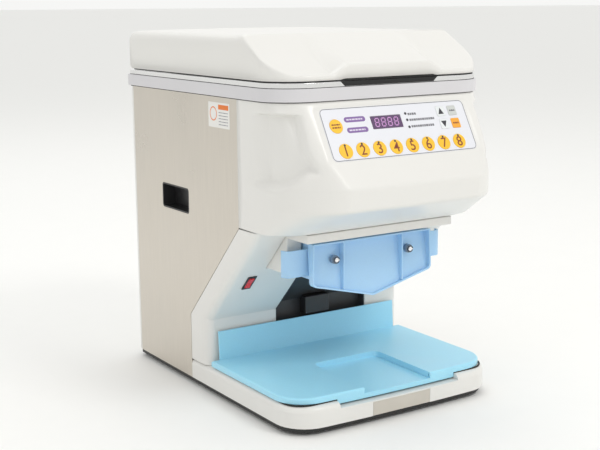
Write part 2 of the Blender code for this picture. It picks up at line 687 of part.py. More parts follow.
def lid_solid(name, inset, paint=None):
    """Lid body: plan outline, with the sloping front and the nose cut to side profiles."""
    low = LID_LOW - (5 if inset else 0)
    top = LID_TOP - inset
    body = prism(name, 'Z', rim_plan(-inset, LID_REAR - inset), low, top, paint, True)
    half = HALF - inset
    edge = LID_EDGE - inset
    over = rounded([(-half - 1, low - 1), (-half, top), (half, top), (half + 1, low - 1)],
                   [0, edge, edge, 0], 4)
    keep(body, prism(name + "_over", 'Y', over, -DEPTH, DEPTH))
    along = rounded([(-DEPTH, low - 1), (-DEPTH, top), (LID_REAR - inset, top),
                     (LID_REAR - inset, low - 1)], [0, 0, edge, 0], 4)
    keep(body, prism(name + "_along", 'X', along, -BODY_WIDTH, BODY_WIDTH))
    front = -DEPTH / 2
    slope = [(front - 20, LID_LOW + 10 - inset), (front + 76 + inset, LID_LOW + 10 - inset),
             (front + 120 + inset, LID_LOW + 35 - inset), (front + 165 + inset, top + 1),
             (front + 165 + inset, top + 20), (front - 20, top + 20)]
    nose = [(front - 30, LID_LOW + 24 - inset), (front + 66 + inset, LID_LOW + 24 - inset),
            (front + 165 + inset, top + 1), (front + 165 + inset, top + 30),
            (front - 30, top + 30)]
    cheek = LID_CHEEK - inset
    for word, side in (("left", -1), ("right", 1)):
        span = (side * cheek, side * (HALF + 20))
        cut(body, prism(name + "_slope_" + word, 'X', slope, min(span), max(span)))
    cut(body, prism(name + "_nose", 'X', nose, -cheek - 1, cheek + 1))
    return body


def make_lid(paints):
    lid = lid_solid("lid", 0, paints['white'])
    cut(lid, lid_solid("lid_hollow", LID_WALL))
    clearance = [(PIN_Y, LID_LOW - 5), (PIN_Y, LID_LOW), (LID_REAR + 5, LID_LOW + LID_OPEN_CLEARANCE + 3),
                 (LID_REAR + 5, LID_LOW - 5)]
    cut(lid, prism("hinge_clearance", 'X', clearance, -HALF - 5, HALF + 5))
    for word, side in (("left", -1), ("right", 1)):
        span = (side * 105, side * 113)
        boss = prism("boss_" + word, 'X', circle((PIN_Y, PIN_Z), 6, 16), min(span), max(span))
        web = block("boss_web_" + word, (min(span), max(span)), (PIN_Y, LID_REAR - 1),
                    (PIN_Z - 3, PIN_Z + 4))
        add(lid, boss, web)
    pin_hole = prism("pin_hole", 'X', circle((PIN_Y, PIN_Z), HINGE_PIN_RADIUS + GAP, 16), -118, 118)
    cut(lid, pin_hole)
    centred(lid, 0, PIN_Y, PIN_Z)

    prism("hinge_pin", 'X', circle((PIN_Y, PIN_Z), HINGE_PIN_RADIUS, 16), -116, 116,
          paints['shaft'], True)
    low = BAND_TOP + GAP
    strip = block("hinge_bracket", (-120, 120), (PIN_Y - 21, PIN_Y - 12.5), (low, low + 2.5),
                  paints['frame'])
    ear = [(PIN_Y - 21, low + 1), (PIN_Y - 12.5, low + 1), (PIN_Y - 10, PIN_Z - 6)]
    ear += [(PIN_Y + 6 * sin(a), PIN_Z - 6 * cos(a)) for a in [pi * i / 8 for i in range(9)]]
    ear += [(PIN_Y - 21, PIN_Z - 4)]
    for word, side in (("left", -1), ("right", 1)):
        span = (side * 101, side * 104)
        add(strip, prism("ear_" + word, 'X', ear, min(span), max(span)))
    cut(strip, prism("ear_hole", 'X', circle((PIN_Y, PIN_Z), HINGE_PIN_RADIUS + GAP, 16), -118, 118))


# ---- outlet and chute --------------------------------------------------------------
def make_outlet(paints):
    low, high = FLOOR + OUTLET_BOTTOM, HEAD_BOTTOM - 1
    back = SEAM + 44
    width = (-OUTLET_HALF, OUTLET_HALF)
    housing = block("outlet_housing", width, (SEAM - 44, back), (low, high), paints['white'])
    roof = block("outlet_roof", width, (SEAM - 98, SEAM - 40), (high - 13, high))
    add(housing, roof)
    well = CHUTE_HALF + 2.5
    cut(housing, block("chute_well", (-well, well), (SEAM - 110, SEAM + CHUTE_REAR + 4),
                       (low - 5, FLOOR + CHUTE_TOP + 0.7)))
    roof_rear = max(SEAM + CHUTE_REAR + 4, THROAT_REAR + 6)
    cut(housing, block("roof_hole", (-well, well), (HOPPER_FRONT - 6, roof_rear), (low - 5, high + 5)))
    roof_front = block("roof_front", (-well - 1, well + 1), (SEAM - 98, SEAM - 88), (high - 13, high))
    add(housing, roof_front)
    for word, side in (("left", -1), ("right", 1)):
        span = (side * (well + 3), side * (OUTLET_HALF - 3))
        cut(housing, block("cheek_" + word, (min(span), max(span)), (SEAM - 41, back + 5),
                           (low + 3, high - 16)))


def wing(name, side):
    """Splash wing beside the chute, seen in plan: flat, then curving back."""
    low, high = FLOOR + WING_LOW, FLOOR + WING_HIGH
    reach = OUTLET_HALF + 12
    front = SEAM + CHUTE_FRONT + 2
    back = front + 14
    inset = CHUTE_WALL
    outer = rounded([(CHUTE_HALF - 1, front), (reach, front), (reach, back)], [0, 11, 0], 5)
    inner = rounded([(CHUTE_HALF - 1, front + inset), (reach - inset, front + inset),
                     (reach - inset, back)], [0, 11 - inset, 0], 5)
    outline = [(side * x, y) for x, y in outer + inner[::-1]]
    return prism(name, 'Z', outline, low, high)


def make_chute(paints):
    x = (-CHUTE_HALF, CHUTE_HALF)
    y = (SEAM + CHUTE_FRONT, SEAM + CHUTE_REAR)
    z = (FLOOR + CHUTE_BOTTOM, FLOOR + CHUTE_TOP)
    box = block("chute_box", x, y, z, paints['blue'])
    cut(box, block("chute_bore", (x[0] + CHUTE_WALL, x[1] - CHUTE_WALL),
                   (y[0] + CHUTE_WALL, y[1] - CHUTE_WALL),
                   (z[0] - 5, z[1] + 5)))
    add(box, wing("wing_left", -1), wing("wing_right", 1))
    pin_x = CHUTE_HALF - 6
    pin_z = FLOOR + FLAP_PIN_HEIGHT
    for side in (-1, 1):
        cut(box, prism("flap_hole", 'Y', circle((side * pin_x, pin_z), FLAP_PIN_RADIUS + GAP, 12),
                       y[0] - 5, y[1] + 5))
    make_flaps(paints, pin_x, pin_z, y)
    make_chute_cover(paints, y[0])


def make_flaps(paints, pin_x, pin_z, y):
    """The two flaps that close the chute's bottom in a V."""
    tip_z = FLOOR + FLAP_TIP_HEIGHT
    for word, side in (("left", -1), ("right", 1)):
        start, end = Vector((side * pin_x, pin_z)), Vector((side * 0.6, tip_z))
        along = (end - start).normalized()
        across = Vector((-along.y, along.x)) * 1.0
        corners = [tuple(p) for p in (start + across, end + across, end - across, start - across)]
        inner_y = (y[0] + CHUTE_WALL + GAP * 2, y[1] - CHUTE_WALL - GAP * 2)
        flap = prism("flap_" + word, 'Y', corners, inner_y[0], inner_y[1], paints['blue'])
        add(flap, prism("flap_barrel_" + word, 'Y', circle((side * pin_x, pin_z), 3, 12),
                        inner_y[0], inner_y[1]),
            prism("flap_pin_" + word, 'Y', circle((side * pin_x, pin_z), FLAP_PIN_RADIUS, 12),
                  y[0] + 0.5, y[1] - 0.5))
        centred(flap, side * pin_x, (y[0] + y[1]) / 2, pin_z)


def v_outline(inset):
    """Outline of the chute's front cover, as (x, z); its lower edge is a V."""
    half = CHUTE_HALF + 4 - inset
    low = FLOOR + COVER_SIDE_LOW + inset * 0.8
    high = FLOOR + COVER_TOP - inset
    tip = FLOOR + FLAP_TIP_HEIGHT - 2 + inset
    return rounded([(-half, high), (-half - 2, low), (0, tip), (half + 2, low), (half, high)],
                   [2, 7, 7, 7, 2], 3)


def cover_plane(z, back):
    """The cover's sunk face: deep at the top, level with its rim at the tip."""
    share = (FLOOR + COVER_TOP - z) / (COVER_TOP - FLAP_TIP_HEIGHT)
    return back - COVER_SHEET - (COVER_SINK - COVER_SHEET - 1) * share


def make_chute_cover(paints, chute_front):
    back = chute_front - GAP
    front = back - COVER_SINK - COVER_SHEET
    low, high = FLOOR + FLAP_TIP_HEIGHT - 10, FLOOR + COVER_TOP + 5
    at_low, at_high = cover_plane(low, back), cover_plane(high, back)
    cover = prism("chute_cover", 'Y', v_outline(0), front, back, paints['blue'])
    sheet_back = prism("cover_back", 'X', [(at_low + COVER_SHEET, low), (back + 5, low),
                                           (back + 5, high), (at_high + COVER_SHEET, high)],
                       -CHUTE_HALF - 20, CHUTE_HALF + 20)
    field = prism("cover_field", 'Y', v_outline(2.5), front - 5, back + 5)
    keep(field, prism("cover_face", 'X', [(front - 6, low), (at_low, low), (at_high, high),
                                          (front - 6, high)], -CHUTE_HALF - 20, CHUTE_HALF + 20))
    cut(cover, sheet_back, field)
    for side in (-1, 1):
        middle = side * 54
        fin = block("cover_fin", (middle - 1.2, middle + 1.2), (front, back - 1),
                    (FLOOR + FLAP_TIP_HEIGHT + 15, FLOOR + COVER_TOP - 0.5))
        cut(fin, sheet_back)
        add(cover, fin)
    knob_z = FLOOR + KNOB_HEIGHT
    seat = cover_plane(knob_z + KNOB_RADIUS, back)
    for word, side in (("left", -1), ("right", 1)):
        x = side * KNOB_SPREAD
        cut(cover, prism("stud_hole", 'Y', circle((x, knob_z), 2.4, 12), back - 20, back + 5))
        knob = prism("chute_knob_" + word, 'Y', circle((x, knob_z), KNOB_RADIUS, 20), seat - 9,
                     seat - 2.2, paints['black'], True)
        add(knob, prism("stud_" + word, 'Y', circle((x, knob_z), 2.0, 12), seat - 5, back - 0.2),
            block("knob_bar_" + word, (x - 1.3, x + 1.3), (seat - 12, seat - 5),
                  (knob_z - 5, knob_z + 5)))
        centred(knob, x, seat, knob_z)
    centred(cover, 0, back, FLOOR + CHUTE_TOP)


# ---- inside: frame, hopper and drives ----------------------------------------------
def make_frame(paints):
    """One folded sheet: two upright sides joined by a deck and a rear foot."""
    front, rear = SEAM - 68, PANEL_REAR - 12
    outline = [(LOWER_FRONT + 14, FLOOR + GAP), (rear, FLOOR + GAP), (rear, COLUMN_TOP - 12),
               (front, COLUMN_TOP - 12), (front, HEAD_BOTTOM + 16), (SEAM + 4, HEAD_BOTTOM + 16),
               (LOWER_FRONT + 14, SLANT_LOW + 16)]
    half = HALF - FRAME_INSET
    frame = prism("inner_frame", 'X', outline, -half, half, paints['frame'])
    inner = half - SHEET
    cut(frame, block("frame_upper", (-inner, inner), (front - 20, rear + 20),
                     (FLOOR + 240, COLUMN_TOP + 20)))
    cut(frame, block("frame_lower", (-inner, inner), (SEAM - 200, rear - SHEET),
                     (FLOOR - 5, FLOOR + 240 - SHEET)))
    holes = [((ROLLER_Y - ROLLER_SPACING / 2, ROLLER_Z), SHAFT_RADIUS + GAP),
             ((ROLLER_Y + ROLLER_SPACING / 2, ROLLER_Z), SHAFT_RADIUS + GAP),
             ((AGITATOR_Y, AGITATOR_Z), SHAFT_RADIUS + GAP)]
    for spot, radius in holes:
        cut(frame, prism("shaft_hole", 'X', circle(spot, radius, 16), -half - 10, half + 10))
    y, z = pinion_place()
    cut(frame, prism("motor_hole", 'X', circle((y, z), 5, 16), 0, half + 10))
    return half


def hopper_solid(name, inset, paint=None):
    top = HOPPER_TOP + (10 if inset else 0)
    front, rear = HOPPER_FRONT + inset, HOPPER_REAR - inset
    low = THROAT_LOW - (10 if inset else 0)
    bend = THROAT_LOW + THROAT_RISE + inset
    side_view = [(front, low), (THROAT_REAR - inset, low), (THROAT_REAR - inset, bend),
                 (rear, bend + HOPPER_RAKE), (rear, top), (front, top)]
    end_view = [(THROAT_HALF - inset, low), (THROAT_HALF - inset, bend),
                (HOPPER_HALF - inset, bend + HOPPER_RAKE), (HOPPER_HALF - inset, top)]
    end_view += [(-x, z) for x, z in end_view[::-1]]
    body = prism(name, 'X', side_view, -HOPPER_HALF - 5, HOPPER_HALF + 5, paint)
    return keep(body, prism(name + "_ends", 'Y', end_view, HOPPER_FRONT - 50, BODY_REAR + 50))


def make_hopper(paints):
    hopper = hopper_solid("hopper", 0, paints['hopper'])
    cut(hopper, hopper_solid("hopper_hollow", HOPPER_WALL))
    spots = [(ROLLER_Y - ROLLER_SPACING / 2, ROLLER_Z), (ROLLER_Y + ROLLER_SPACING / 2, ROLLER_Z),
             (AGITATOR_Y, AGITATOR_Z)]
    for spot in spots:
        cut(hopper, prism("bush_hole", 'X', circle(spot, SHAFT_RADIUS + 1, 16), -HOPPER_HALF - 20,
                          HOPPER_HALF + 20))


def toothed(centre, inner, outer, teeth, start=0.0):
    """Outline of a toothed wheel with straight flanks; a tooth is centred on start."""
    points = []
    for i in range(teeth):
        for part, radius in ((-0.25, inner), (-0.15, outer), (0.15, outer), (0.25, inner)):
            a = start + 2 * pi * (i + part) / teeth
            points.append((centre[0] + radius * cos(a), centre[1] + radius * sin(a)))
    return points


def pinion_place():
    """Middle of the feed motor's pinion, behind the rear feed gear."""
    return ROLLER_Y + ROLLER_SPACING + PINION_RADIUS, ROLLER_Z


def make_feed(paints, half):
    width = THROAT_HALF - HOPPER_WALL - 1.5
    for word, side in (("front", -1), ("rear", 1)):
        spot = (ROLLER_Y + side * ROLLER_SPACING / 2, ROLLER_Z)
        roller = prism("feed_roller_" + word, 'X', toothed(spot, 9, ROLLER_RADIUS, 8), -width, width,
                       paints['roller'])
        add(roller, prism("feed_shaft_" + word, 'X', circle(spot, SHAFT_RADIUS, 12), -half - 3,
                          half + 12))
        centred(roller, 0, *spot)
        gear = prism("feed_gear_" + word, 'X',
                     toothed(spot, ROLLER_SPACING / 2 - TOOTH_ROOT, ROLLER_SPACING / 2 + TOOTH_TIP,
                             GEAR_TEETH, pi / GEAR_TEETH if side > 0 else 0),
                     half + 2, half + 9, paints['gear'])
        cut(gear, prism("gear_bore_" + word, 'X', circle(spot, SHAFT_RADIUS + GAP, 16), half - 5,
                        half + 15))
        centred(gear, half + 5.5, *spot)
    y, z = pinion_place()
    pinion = prism("motor_pinion", 'X', toothed((y, z), PINION_RADIUS - TOOTH_ROOT,
                                                PINION_RADIUS + TOOTH_TIP, PINION_TEETH),
                   half + 2, half + 9, paints['gear'])
    cut(pinion, prism("pinion_bore", 'X', circle((y, z), 3 + GAP, 12), half - 5, half + 15))
    centred(pinion, half + 5.5, y, z)
    motor = prism("feed_motor", 'X', circle((y, z), 18, 24), half - 38, half - SHEET - GAP,
                  paints['motor'], True)
    add(motor, prism("feed_motor_shaft", 'X', circle((y, z), 3, 12), half - 10, half + 10))


def make_agitator(paints, half):
    spot = (AGITATOR_Y, AGITATOR_Z)
    shaft = prism("agitator_shaft", 'X', circle(spot, SHAFT_RADIUS, 12), -half - 3, half + 5,
                  paints['shaft'])
    for i in range(4):
        x = -90 + 60 * i
        turn = radians(45 * i)
        along = Vector((cos(turn), sin(turn))) * PADDLE_RADIUS
        across = Vector((-sin(turn), cos(turn))) * 4
        middle = Vector(spot)
        corners = [tuple(middle + p) for p in (along + across, -along + across, -along - across,
                                               along - across)]
        add(shaft, prism(f"paddle_{i}", 'X', corners, x - 3, x + 3))
    centred(shaft, 0, *spot)
    motor = prism("agitator_motor", 'X', rectangle((spot[0] - 28, spot[0] + 28),
                                                   (spot[1] - 28, spot[1] + 28), 6),
                  half + GAP, half + 22, paints['motor'])
    cut(motor, prism("agitator_socket", 'X', circle(spot, SHAFT_RADIUS + GAP, 16), half - 5, half + 6))


def make_supply(paints):
    block("power_supply", (-80, 80), (PANEL_REAR - 150, PANEL_REAR - 30), (FLOOR + 1, FLOOR + 58),
          paints['motor'])


def build():
    clear_scene()
    paints = make_paints()
    make_feet(paints['rubber'])
    make_base(paints)
    make_tray(paints['tray'])
    make_sides(paints)
    make_rear_cover(paints)
    make_neck(paints)
    frame = make_head(paints)
    make_keypad(frame, paints)
    make_rim(paints)
    make_lid(paints)
    make_outlet(paints)
    make_chute(paints)
    half = make_frame(paints)
    make_hopper(paints)
    make_feed(paints, half)
    make_agitator(paints, half)
    make_supply(paints)


build()
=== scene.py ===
"""Looks of the tabletop serving machine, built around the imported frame.

Lengths are in millimetres in the row frame until a mesh is finished in metres.
"""

import json
from math import atan2, cos, pi, radians, sin, sqrt, tan

import bmesh
import bpy
import numpy as np
from mathutils import Matrix, Vector

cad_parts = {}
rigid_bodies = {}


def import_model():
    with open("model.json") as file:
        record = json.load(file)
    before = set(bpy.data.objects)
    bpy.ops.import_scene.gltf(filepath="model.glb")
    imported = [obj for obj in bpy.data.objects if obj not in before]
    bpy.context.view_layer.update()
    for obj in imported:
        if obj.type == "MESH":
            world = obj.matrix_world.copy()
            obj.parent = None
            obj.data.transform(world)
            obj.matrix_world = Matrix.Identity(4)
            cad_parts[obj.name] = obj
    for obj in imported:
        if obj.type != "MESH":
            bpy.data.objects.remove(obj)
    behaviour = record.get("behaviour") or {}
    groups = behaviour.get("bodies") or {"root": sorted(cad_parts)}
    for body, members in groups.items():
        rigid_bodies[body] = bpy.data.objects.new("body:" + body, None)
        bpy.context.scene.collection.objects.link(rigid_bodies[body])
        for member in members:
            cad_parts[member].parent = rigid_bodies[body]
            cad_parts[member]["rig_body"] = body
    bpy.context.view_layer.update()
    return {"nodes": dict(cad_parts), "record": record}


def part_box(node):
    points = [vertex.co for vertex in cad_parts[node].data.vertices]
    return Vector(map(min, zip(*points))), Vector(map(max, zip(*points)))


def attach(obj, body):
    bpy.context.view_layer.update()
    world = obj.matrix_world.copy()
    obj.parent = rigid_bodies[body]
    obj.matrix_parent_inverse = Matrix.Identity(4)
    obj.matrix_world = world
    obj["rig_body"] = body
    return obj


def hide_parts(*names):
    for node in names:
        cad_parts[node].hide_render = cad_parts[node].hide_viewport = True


MM = 0.001

# ---- the part's sizes that the looks share -----------------------------------------
HALF = 187.0
DEPTH = 541.0
SEAM = -90.5
BODY_REAR = 267.5
COLUMN_TOP = 469.0
HEAD_BOTTOM = 281.0
LID_LOW = 495.3
LID_REAR = 266.5
LID_WALL = 3.0
PIN_Y = 254.5
PIN_Z = 508.3
NOSE_DROP = 117.0
KEYPAD_DROP = 44.5
KEYPAD_TILT = radians(29.5)
KEY_PITCH = 28.8
FRONT = -DEPTH / 2
LEAN = tan(KEYPAD_TILT)
OUTLET_WAY = 108.0                                  # half width of the hole over the outlet
OUTLET_WAY_FRONT = -160.5
OUTLET_WAY_REAR = -84.5
MIDDLE_Y = 30.0                                     # the lid's outline shrinks toward here
GAP_TOP = 495.0                                     # finger gap between the lid and the lip
GAP_LOW = 488.4
# painted shade: a black ring fills the gap under the tray
TRAY_GAP_SHADE = (43.25, 44.9)                            # heights of the dark gap under the tray
INK_SINK = 0.05                                     # how far printed marks sink into a face

# local x along +X, y along +Z and z out of the front of the machine
FACING_FRONT = Matrix(((1, 0, 0, 0), (0, 0, -1, 0), (0, 1, 0, 0), (0, 0, 0, 1)))


# ---- materials ---------------------------------------------------------------------
def paint(name, colour, roughness, metallic=0.0, grain=60.0, bump=0.02, spread=0.05,
          shift=0.04, stretch=(1, 1, 1), coat=0.0, subsurface=0.0, glow=None, edge_lightening=0.0):
    """Principled material with uneven roughness, a little colour drift and a fine bump."""
    made = bpy.data.materials.new(name)
    made.use_nodes = True
    tree = made.node_tree
    nodes, links = tree.nodes, tree.links
    shader = nodes["Principled BSDF"]
    shader.inputs["Metallic"].default_value = metallic
    shader.inputs["Coat Weight"].default_value = coat
    shader.inputs["Coat Roughness"].default_value = 0.12
    shader.inputs["Subsurface Weight"].default_value = subsurface
    shader.inputs["Subsurface Radius"].default_value = (0.006, 0.008, 0.010)
    if glow:
        shader.inputs["Emission Color"].default_value = (*glow, 1.0)
        shader.inputs["Emission Strength"].default_value = 0.6
    place = nodes.new("ShaderNodeTexCoord")
    scaled = nodes.new("ShaderNodeMapping")
    scaled.inputs["Scale"].default_value = stretch
    links.new(place.outputs["Object"], scaled.inputs["Vector"])
    fine = nodes.new("ShaderNodeTexNoise")
    fine.inputs["Scale"].default_value = grain
    fine.inputs["Detail"].default_value = 4.0
    links.new(scaled.outputs["Vector"], fine.inputs["Vector"])
    broad = nodes.new("ShaderNodeTexNoise")
    broad.inputs["Scale"].default_value = 9.0
    broad.inputs["Detail"].default_value = 3.0
    links.new(place.outputs["Object"], broad.inputs["Vector"])
    rough = nodes.new("ShaderNodeMapRange")
    rough.inputs["From Min"].default_value = 0.3
    rough.inputs["From Max"].default_value = 0.7
    rough.inputs["To Min"].default_value = max(0.02, roughness - spread)
    rough.inputs["To Max"].default_value = min(1.0, roughness + spread)
    links.new(broad.outputs["Fac"], rough.inputs["Value"])
    links.new(rough.outputs["Result"], shader.inputs["Roughness"])
    ramp = nodes.new("ShaderNodeValToRGB")
    ramp.color_ramp.elements[0].position = 0.3
    ramp.color_ramp.elements[1].position = 0.7
    ramp.color_ramp.elements[0].color = (*[c * (1 - shift) for c in colour], 1.0)
    ramp.color_ramp.elements[1].color = (*[min(1.0, c * (1 + shift)) for c in colour], 1.0)
    mixed = nodes.new("ShaderNodeMath")
    mixed.operation = 'MULTIPLY_ADD'
    mixed.inputs[1].default_value = 0.5
    halved = nodes.new("ShaderNodeMath")
    halved.operation = 'MULTIPLY'
    halved.inputs[1].default_value = 0.5
    links.new(fine.outputs["Fac"], mixed.inputs[0])
    links.new(broad.outputs["Fac"], halved.inputs[0])
    links.new(halved.outputs["Value"], mixed.inputs[2])
    links.new(mixed.outputs["Value"], ramp.inputs["Fac"])
    last = ramp.outputs["Color"]
    # lighter colour along sharp convex edges, where the mesh's pointiness is high
    if edge_lightening:
        shape = nodes.new("ShaderNodeNewGeometry")
        edge = nodes.new("ShaderNodeMapRange")
        edge.inputs["From Min"].default_value = 0.52
        edge.inputs["From Max"].default_value = 0.62
        edge.inputs["To Max"].default_value = edge_lightening
        links.new(shape.outputs["Pointiness"], edge.inputs["Value"])
        edge_lightened = nodes.new("ShaderNodeMixRGB")
        lighter = [min(1.0, c * 1.25 + 0.05) for c in colour]
        edge_lightened.inputs["Color2"].default_value = (*lighter, 1.0)
        links.new(edge.outputs["Result"], edge_lightened.inputs["Fac"])
        links.new(last, edge_lightened.inputs["Color1"])
        last = edge_lightened.outputs["Color"]
    links.new(last, shader.inputs["Base Color"])
    relief = nodes.new("ShaderNodeBump")
    relief.inputs["Strength"].default_value = bump
    relief.inputs["Distance"].default_value = 0.001
    links.new(fine.outputs["Fac"], relief.inputs["Height"])
    links.new(relief.outputs["Normal"], shader.inputs["Normal"])
    return made


def make_paints():
    return {
        'gloss_white': paint("white_gloss", (0.80, 0.79, 0.76), 0.30, grain=1500, bump=0.012,
                             shift=0.006, coat=0.12, spread=0.02),
        # brushed steel; its warm beige tint and depth are painted reflection of warm surroundings
        'steel': paint("steel_brushed_warm_reflection", (0.67, 0.625, 0.56), 0.34, 1.0, grain=26, bump=0.06,
                       shift=0.055, stretch=(1, 26, 0.5), spread=0.07),
        'band': paint("band_grey", (0.68, 0.67, 0.69), 0.40, grain=500, bump=0.05, shift=0.02),
        'trim': paint("trim_bright", (0.86, 0.86, 0.86), 0.14, 1.0, grain=200, bump=0.02, shift=0.02),
        'tray_blue': paint("tray_blue", (0.39, 0.77, 0.965), 0.34, grain=450, bump=0.06, shift=0.03,
                           subsurface=0.25, coat=0.1),
        'chute_blue': paint("chute_blue", (0.42, 0.67, 0.93), 0.32, grain=450, bump=0.06, shift=0.03,
                            subsurface=0.25, coat=0.1),
        'black': paint("black_plastic", (0.022, 0.022, 0.024), 0.34, grain=900, bump=0.12,
                       shift=0.15, edge_lightening=0.3),
        'panel': paint("black_panel", (0.055, 0.055, 0.057), 0.42, grain=900, bump=0.12,
                       shift=0.12),
        'pan': paint("pan_black", (0.018, 0.018, 0.018), 0.42, grain=600, bump=0.12, shift=0.15,
                     edge_lightening=0.3),
        # black rubber; also the black strips that paint the shade in the seams and gaps
        'rubber': paint("rubber_black_and_gap_shade", (0.015, 0.015, 0.015), 0.75, grain=900, bump=0.25, shift=0.2),
        'overlay': paint("overlay_film", (0.80, 0.81, 0.86), 0.36, grain=1200, bump=0.06, shift=0.01),
        'display': paint("display_filter", (0.10, 0.045, 0.13), 0.12, grain=300, bump=0.01,
                         shift=0.1, coat=0.6),
        'rocker': paint("rocker_red", (0.50, 0.030, 0.030), 0.26, grain=500, bump=0.04, shift=0.08,
                        coat=0.3, glow=(0.25, 0.01, 0.01)),
        'knob': paint("knob_dark", (0.20, 0.27, 0.36), 0.34, grain=800, bump=0.1, shift=0.15),
        'zinc_sheet': paint("zinc_sheet", (0.55, 0.56, 0.56), 0.42, 0.9, grain=80, bump=0.05,
                            shift=0.12),
        'shaft': paint("shaft_steel", (0.66, 0.66, 0.64), 0.28, 1.0, grain=60, bump=0.05, shift=0.06,
                       stretch=(30, 1, 1)),
        'hopper': paint("hopper_grey", (0.74, 0.76, 0.78), 0.38, grain=500, bump=0.06, shift=0.02),
        'roller': paint("roller_acetal", (0.80, 0.79, 0.74), 0.35, grain=400, bump=0.06, shift=0.03),
        'gear': paint("gear_nylon", (0.76, 0.73, 0.64), 0.42, grain=400, bump=0.06, shift=0.04),
        'motor': paint("motor_grey", (0.10, 0.105, 0.115), 0.42, 0.4, grain=300, bump=0.08, shift=0.1),
        'board': paint("board_green", (0.012, 0.12, 0.04), 0.35, grain=300, bump=0.08, shift=0.1),
        'key_yellow': paint("key_yellow", (0.95, 0.55, 0.02), 0.38, grain=900, bump=0.05, shift=0.03),
        'key_white': paint("key_white", (0.80, 0.83, 0.84), 0.38, grain=900, bump=0.05, shift=0.02),
        'key_grey': paint("key_grey", (0.60, 0.62, 0.60), 0.38, grain=900, bump=0.05, shift=0.02),
        'key_orange': paint("key_orange", (0.92, 0.40, 0.03), 0.38, grain=900, bump=0.05, shift=0.03),
    }


def make_inks():
    return {
        'digit': paint("ink_brown", (0.24, 0.05, 0.015), 0.5, grain=600, bump=0.03),
        'dark': paint("ink_dark", (0.03, 0.03, 0.04), 0.5, grain=600, bump=0.03),
        'grey': paint("ink_grey", (0.16, 0.16, 0.18), 0.5, grain=600, bump=0.03),
        'line': paint("ink_line", (0.30, 0.30, 0.33), 0.5, grain=600, bump=0.03),
        'purple': paint("ink_purple", (0.23, 0.13, 0.36), 0.45, grain=600, bump=0.03),
        'pale': paint("ink_pale", (0.72, 0.66, 0.80), 0.45, grain=600, bump=0.03),
        'segment': paint("segment_violet", (0.42, 0.22, 0.45), 0.4, grain=600, bump=0.02,
                         glow=(0.30, 0.12, 0.30)),
        'card': paint("card_white", (0.84, 0.83, 0.80), 0.5, grain=800, bump=0.05, shift=0.02),
        'orange': paint("ink_orange", (0.80, 0.20, 0.03), 0.5, grain=600, bump=0.03),
    }


# ---- building helpers --------------------------------------------------------------
def piece(name, bm, material, body, sharp=34, replaces=()):
    """A bmesh drawn in millimetres becomes a piece that rides on a body."""
    bmesh.ops.scale(bm, vec=(MM, MM, MM), verts=bm.verts)
    bmesh.ops.recalc_face_normals(bm, faces=bm.faces)
    mesh = bpy.data.meshes.new(name)
    bm.to_mesh(mesh)
    bm.free()
    mesh.shade_smooth()
    mesh.set_sharp_from_angle(angle=radians(sharp))
    item = bpy.data.objects.new(name, mesh)
    bpy.context.scene.collection.objects.link(item)
    mesh.materials.append(material)
    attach(item, body)
    if replaces:
        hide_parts(*replaces)
    return item


def bevel(item, width, segments=3, angle=30):
    """Round the sharp edges of a piece."""
    turned = item.modifiers.new("edges", 'BEVEL')
    turned.width = width * MM
    turned.segments = segments
    turned.limit_method = 'ANGLE'
    turned.angle_limit = radians(angle)
    turned.harden_normals = True
    turned.use_clamp_overlap = True
    return item


def softened(frame, node, material, width, segments=3, angle=30):
    """A piece that stands for a CAD node: the same shape with rounded edges."""
    source = frame["nodes"][node]
    bm = bmesh.new()
    bm.from_mesh(source.data)
    bmesh.ops.remove_doubles(bm, verts=bm.verts, dist=2e-6)
    bmesh.ops.dissolve_limit(bm, angle_limit=radians(0.6), verts=bm.verts, edges=bm.edges)
    bmesh.ops.scale(bm, vec=(1 / MM, 1 / MM, 1 / MM), verts=bm.verts)
    item = piece(node + "_soft", bm, material, source["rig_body"], replaces=(node,))
    return bevel(item, width, segments, angle)


def drawn(name, outlines, low, high, material, body, spot=None, soft=0.0):
    """Prisms from flat outlines, in one piece; spot carries local x, y, z to the row frame."""
    bm = bmesh.new()
    for outline in outlines:
        bottom = [bm.verts.new((x, y, low)) for x, y in outline]
        top = [bm.verts.new((x, y, high)) for x, y in outline]
        bm.faces.new(bottom[::-1])
        bm.faces.new(top)
        for i in range(len(outline)):
            j = (i + 1) % len(outline)
            bm.faces.new((bottom[i], bottom[j], top[j], top[i]))
    if spot is not None:
        bmesh.ops.transform(bm, matrix=spot, verts=bm.verts)
    item = piece(name, bm, material, body)
    if soft:
        bevel(item, soft, 2)
    return item


def ring_strip(outer, inner, low, high, name, material, body, spot=None):
    """A closed frame between two outlines of the same number of points."""
    bm = bmesh.new()
    rows = [[bm.verts.new((x, y, z)) for x, y in line]
            for line, z in ((outer, low), (outer, high), (inner, high), (inner, low))]
    count = len(outer)
    for a in range(4):
        b = (a + 1) % 4
        for i in range(count):
            j = (i + 1) % count
            bm.faces.new((rows[a][i], rows[a][j], rows[b][j], rows[b][i]))
    if spot is not None:
        bmesh.ops.transform(bm, matrix=spot, verts=bm.verts)
    return piece(name, bm, material, body)


def disc(middle, radius, steps=28):
    turns = [2 * pi * i / steps for i in range(steps)]
    return [(middle[0] + radius * cos(a), middle[1] + radius * sin(a)) for a in turns]


def slab(x, y, corner=0.0, steps=5):
    """Rectangle with rounded corners."""
    if not corner:
        return [(x[0], y[0]), (x[1], y[0]), (x[1], y[1]), (x[0], y[1])]
    points = []
    for cx, cy, start in ((x[1] - corner, y[1] - corner, 0), (x[0] + corner, y[1] - corner, 90),
                          (x[0] + corner, y[0] + corner, 180), (x[1] - corner, y[0] + corner, 270)):
        for i in range(steps + 1):
            a = radians(start + 90 * i / steps)
            points.append((cx + corner * cos(a), cy + corner * sin(a)))
    return points


def ease(low, high, value):
    t = min(1.0, max(0.0, (value - low) / (high - low)))
    return t * t * (3 - 2 * t)


def along(table, at):
    """Straight-line reading of a table of (place, value)."""
    return float(np.interp(at, [p for p, _ in table], [v for _, v in table]))


